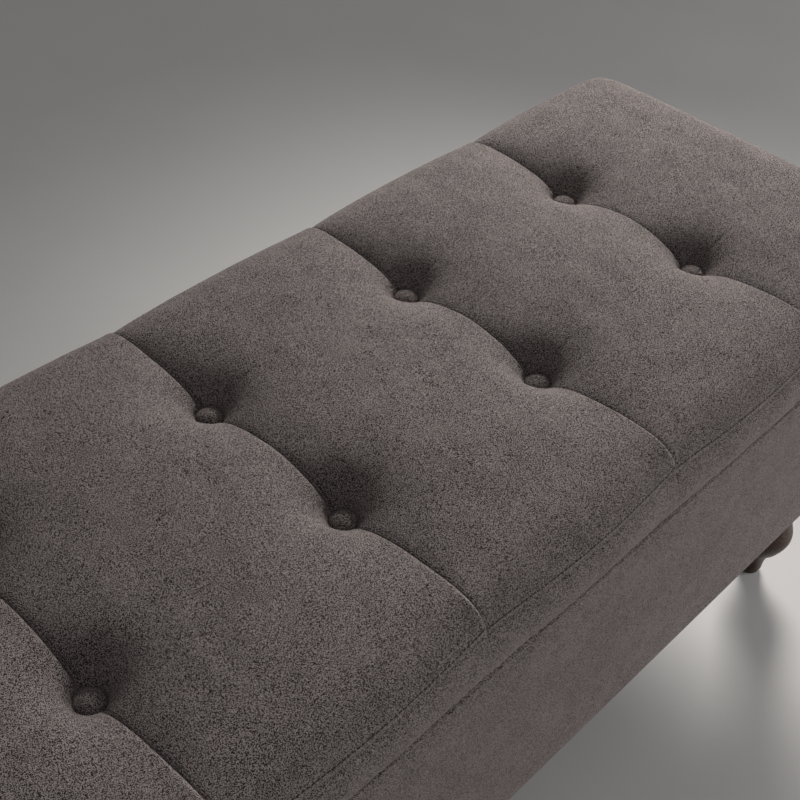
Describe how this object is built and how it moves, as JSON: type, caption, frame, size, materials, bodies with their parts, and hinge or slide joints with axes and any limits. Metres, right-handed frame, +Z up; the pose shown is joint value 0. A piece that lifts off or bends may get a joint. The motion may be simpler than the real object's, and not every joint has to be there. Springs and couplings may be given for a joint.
{
  "type": "storage bench",
  "caption": "Upholstered storage bench: a button-tufted, panelled padded lid hinged on a cloth-covered box, on short turned wooden legs.",
  "frame": {"origin": "on the floor, under the middle of the bench (bottom centre of its box)", "axes": "+X along the bench to its right end, seen from the front; +Y from front to back, where the lid hinges are; +Z up"},
  "size_m": [1.0162, 0.4001, 0.453],
  "materials": {
    "upholstery_cloth": "matte",
    "dust_cloth": "matte",
    "lining_cloth": "matte",
    "foam": "matte",
    "twine": "matte",
    "glide_plastic": "matte",
    "bumper_rubber": "matte",
    "turned_wood": "satin",
    "hinge_steel": "satin",
    "stay_steel": "satin",
    "zinc_steel": "satin",
    "pine": "matte",
    "plywood": "matte"
  },
  "bodies": {
    "root": {"back_cleat": "pine", "back_cover": "upholstery_cloth", "back_left_leg": "turned_wood", "back_left_leg_block": "pine", "back_panel": "plywood", "back_right_leg": "turned_wood", "back_right_leg_block": "pine", "bottom_panel": "plywood", "box_hardware_screws": "zinc_steel", "centre_bearer": "pine", "dust_cover": "dust_cloth", "front_cleat": "pine", "front_cover": "upholstery_cloth", "front_left_leg": "turned_wood", "front_left_leg_block": "pine", "front_panel": "plywood", "front_right_leg": "turned_wood", "front_right_leg_block": "pine", "hinge_box_leaves": "hinge_steel", "hinge_pins": "hinge_steel", "left_side_cover": "upholstery_cloth", "left_side_panel": "plywood", "leg_glides": "glide_plastic", "leg_hanger_bolts": "zinc_steel", "leg_plate_screws": "zinc_steel", "leg_plates": "zinc_steel", "leg_tee_nuts": "zinc_steel", "lid_bumpers": "bumper_rubber", "panel_screws": "zinc_steel", "right_side_cover": "upholstery_cloth", "right_side_panel": "plywood", "stay_box_brackets": "stay_steel", "stay_box_rivets": "stay_steel", "storage_lining": "lining_cloth"},
    "lid": {"back_band": "upholstery_cloth", "button_twines": "twine", "front_band": "upholstery_cloth", "hinge_lid_leaves": "hinge_steel", "left_band": "upholstery_cloth", "lid_board": "plywood", "lid_hardware_screws": "zinc_steel", "lid_lining": "lining_cloth", "right_band": "upholstery_cloth", "seat_foam": "foam", "seat_panel_1": "upholstery_cloth", "seat_panel_2": "upholstery_cloth", "seat_panel_3": "upholstery_cloth", "seat_panel_4": "upholstery_cloth", "seat_panel_5": "upholstery_cloth", "stay_lid_brackets": "stay_steel", "stay_lid_rivets": "stay_steel", "tufting_buttons": "upholstery_cloth", "twine_washers": "zinc_steel"},
    "left_stay_lower_arm": {"left_stay_lower_arm": "stay_steel", "left_stay_elbow_rivet": "stay_steel"},
    "left_stay_upper_arm": {"left_stay_upper_arm": "stay_steel"},
    "right_stay_lower_arm": {"right_stay_lower_arm": "stay_steel", "right_stay_elbow_rivet": "stay_steel"},
    "right_stay_upper_arm": {"right_stay_upper_arm": "stay_steel"}
  },
  "joints": [
    {"name": "lid_hinge", "type": "hinge", "parent": "root", "child": "lid", "pos_m": [0, 0.1959, 0.3845], "axis": [-1, 0, 0], "range_deg": [0, 90]},
    {"name": "left_stay_box_pivot", "type": "hinge", "parent": "root", "child": "left_stay_lower_arm", "pos_m": [-0.4815, 0.0759, 0.3345], "axis": [-1, 0, 0], "range_deg": [0, 90]},
    {"name": "left_stay_elbow", "type": "hinge", "parent": "left_stay_lower_arm", "child": "left_stay_upper_arm", "pos_m": [-0.4815, -0.05334, 0.3205], "axis": [-1, 0, 0], "range_deg": [-90, 0]},
    {"name": "right_stay_box_pivot", "type": "hinge", "parent": "root", "child": "right_stay_lower_arm", "pos_m": [0.4815, 0.0759, 0.3345], "axis": [-1, 0, 0], "range_deg": [0, 90]},
    {"name": "right_stay_elbow", "type": "hinge", "parent": "right_stay_lower_arm", "child": "right_stay_upper_arm", "pos_m": [0.4815, -0.05334, 0.3205], "axis": [-1, 0, 0], "range_deg": [-90, 0]}
  ],
  "couplings": [
    {"joint": "left_stay_box_pivot", "follows": "lid_hinge", "ratio": 1},
    {"joint": "left_stay_elbow", "follows": "lid_hinge", "ratio": -1},
    {"joint": "right_stay_box_pivot", "follows": "lid_hinge", "ratio": 1},
    {"joint": "right_stay_elbow", "follows": "lid_hinge", "ratio": -1}
  ]
}
